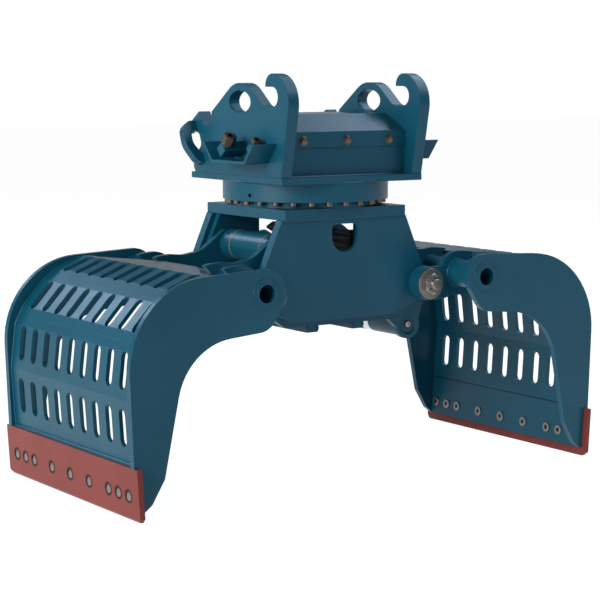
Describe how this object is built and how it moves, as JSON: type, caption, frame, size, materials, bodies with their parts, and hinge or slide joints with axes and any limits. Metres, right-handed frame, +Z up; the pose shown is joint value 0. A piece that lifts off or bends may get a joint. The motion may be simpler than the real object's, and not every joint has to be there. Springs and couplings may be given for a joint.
{
  "type": "sorting grapple",
  "caption": "Hydraulic sorting grapple with slotted clamshell jaws, red cutting edges, slew ring and a twin-hook head, shown with its jaws open.",
  "frame": {"origin": "on the slew axis, at the level of the ground under the open jaws", "axes": "+X across the jaws towards the right shell, +Z up along the slew axis, -Y towards the viewer's side plate of the frame (the pictured face)"},
  "size_m": [2.1392, 1.04, 1.5563],
  "materials": {
    "blue_paint": "satin paint",
    "red_paint": "satin paint",
    "bolt_steel": "plain steel",
    "rod_chrome": "hard chrome",
    "bronze": "bare bronze",
    "dark_cast": "black",
    "hose_rubber": "matt"
  },
  "bodies": {
    "head": {"head_plate": "blue_paint", "hook_plate_left": "blue_paint", "hook_plate_right": "blue_paint", "head_cover": "blue_paint", "cover_walls": "blue_paint", "cover_bolts": "bolt_steel", "hose_guard_left": "blue_paint", "hose_guard_right": "blue_paint", "guard_bar_left": "blue_paint", "guard_bar_right": "blue_paint", "port_blocks": "blue_paint", "hose_fittings": "dark_cast", "slew_housing": "blue_paint", "housing_bolts": "bolt_steel", "slew_motor": "dark_cast", "swivel_sleeve": "dark_cast"},
    "drive_pinion": {"pinion": "bolt_steel"},
    "frame": {"slew_ring": "blue_paint", "gear_ring": "bolt_steel", "swivel_core": "bolt_steel", "frame_top_plate": "blue_paint", "frame_front_plate": "blue_paint", "frame_rear_plate": "blue_paint", "inner_plates": "blue_paint", "cross_bars": "blue_paint", "pivot_bushes": "bronze", "lower_blocks": "blue_paint", "lower_pin": "blue_paint", "swivel_block": "dark_cast", "frame_hoses": "hose_rubber"},
    "left_shell": {"left_side_front": "blue_paint", "left_side_rear": "blue_paint", "left_upper_sheet": "blue_paint", "left_shoulder_sheet": "blue_paint", "left_lower_sheet": "blue_paint", "left_cross_tube": "blue_paint", "left_ears": "blue_paint", "left_levers": "blue_paint", "left_upper_pin": "bolt_steel", "left_pivot_pins": "bolt_steel", "left_pivot_nuts": "bolt_steel", "left_edge": "red_paint", "left_edge_bolts": "bolt_steel", "cylinder_seals": "bronze"},
    "right_shell": {"right_side_front": "blue_paint", "right_side_rear": "blue_paint", "right_upper_sheet": "blue_paint", "right_shoulder_sheet": "blue_paint", "right_lower_sheet": "blue_paint", "right_cross_tube": "blue_paint", "right_ears": "blue_paint", "right_levers": "blue_paint", "right_upper_pin": "bolt_steel", "right_pivot_pins": "bolt_steel", "right_pivot_nuts": "bolt_steel", "right_edge": "red_paint", "right_edge_bolts": "bolt_steel"},
    "barrel": {"cylinder_barrel": "blue_paint"},
    "gland": {"cylinder_gland": "blue_paint"},
    "rod": {"cylinder_rod": "rod_chrome"}
  },
  "joints": [
    {"name": "slew", "type": "hinge", "parent": "head", "child": "frame", "pos_m": [0, 0, 1], "axis": [0, 0, 1], "continuous": true},
    {"name": "pinion_spin", "type": "hinge", "parent": "head", "child": "drive_pinion", "pos_m": [0, 0.144, 1.1], "axis": [0, 0, 1], "continuous": true},
    {"name": "left_jaw", "type": "hinge", "parent": "frame", "child": "left_shell", "pos_m": [-0.371, 0, 0.733], "axis": [0, -1, 0], "range_deg": [0, 63.76]},
    {"name": "right_jaw", "type": "hinge", "parent": "frame", "child": "right_shell", "pos_m": [0.371, 0, 0.733], "axis": [0, 1, 0], "range_deg": [0, 63.76]},
    {"name": "barrel_pivot", "type": "hinge", "parent": "left_shell", "child": "barrel", "pos_m": [-0.229, 0, 0.885], "axis": [0, 1, 0], "range_deg": [-1, 60]},
    {"name": "rod_pivot", "type": "hinge", "parent": "frame", "child": "rod", "pos_m": [0.336, 0, 0.564], "axis": [0, -1, 0], "range_deg": [-1, 6]},
    {"name": "gland_slide", "type": "slide", "parent": "rod", "child": "gland", "axis": [-0.8695, 0, 0.494], "range_m": [-0.001, 0.215]}
  ],
  "couplings": [
    {"joint": "pinion_spin", "follows": "slew", "ratio": 4},
    {"joint": "right_jaw", "follows": "left_jaw", "ratio": 1},
    {"joint": "barrel_pivot", "follows": "left_jaw", "ratio": 0.92743},
    {"joint": "rod_pivot", "follows": "left_jaw", "ratio": 0.072574},
    {"joint": "gland_slide", "follows": "left_jaw", "m_per_rad": 0.18984}
  ]
}
